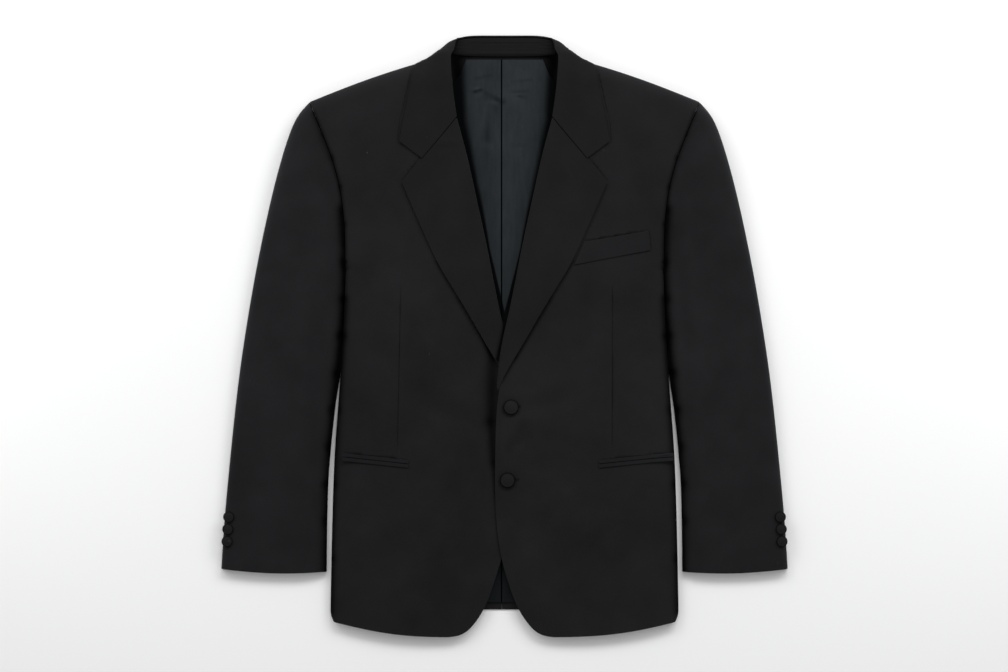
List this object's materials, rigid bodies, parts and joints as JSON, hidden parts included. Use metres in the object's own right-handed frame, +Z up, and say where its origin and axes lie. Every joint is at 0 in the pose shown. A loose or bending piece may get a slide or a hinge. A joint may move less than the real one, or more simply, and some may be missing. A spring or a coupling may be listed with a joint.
{
  "type": "tuxedo jacket",
  "caption": "Men's black single-breasted tuxedo jacket with notched lapels and covered buttons, laid flat on its back and fastened.",
  "frame": {"origin": "on the surface the jacket lies on, under the middle of its bounding box", "axes": "+Z up from the surface through the front of the jacket, +Y from the hem towards the collar, +X towards the wearer's left sleeve"},
  "size_m": [0.766, 0.813, 0.0341],
  "materials": {
    "cloth": "matt black fine wool twill",
    "facing": "matt black self-faced lapel",
    "lining": "dark blue-green satin",
    "buttons": "cloth-covered, matt black"
  },
  "bodies": {
    "root": {"front_left": "cloth", "front_right": "cloth", "side_panel_left": "cloth", "side_panel_right": "cloth", "back_left": "cloth", "back_right": "cloth", "top_sleeve_left": "cloth", "top_sleeve_right": "cloth", "under_sleeve_left": "cloth", "under_sleeve_right": "cloth", "lapel_left": "facing", "lapel_right": "facing", "collar": "cloth", "collar_stand": "cloth", "back_lining_left": "lining", "back_lining_right": "lining", "chest_welt": "cloth", "pocket_jet_upper_left": "cloth", "pocket_jet_lower_left": "cloth", "pocket_jet_upper_right": "cloth", "pocket_jet_lower_right": "cloth", "front_button_upper": "buttons", "front_button_lower": "buttons", "cuff_button_left_1": "buttons", "cuff_button_left_2": "buttons", "cuff_button_left_3": "buttons", "cuff_button_right_1": "buttons", "cuff_button_right_2": "buttons", "cuff_button_right_3": "buttons"}
  },
  "joints": []
}
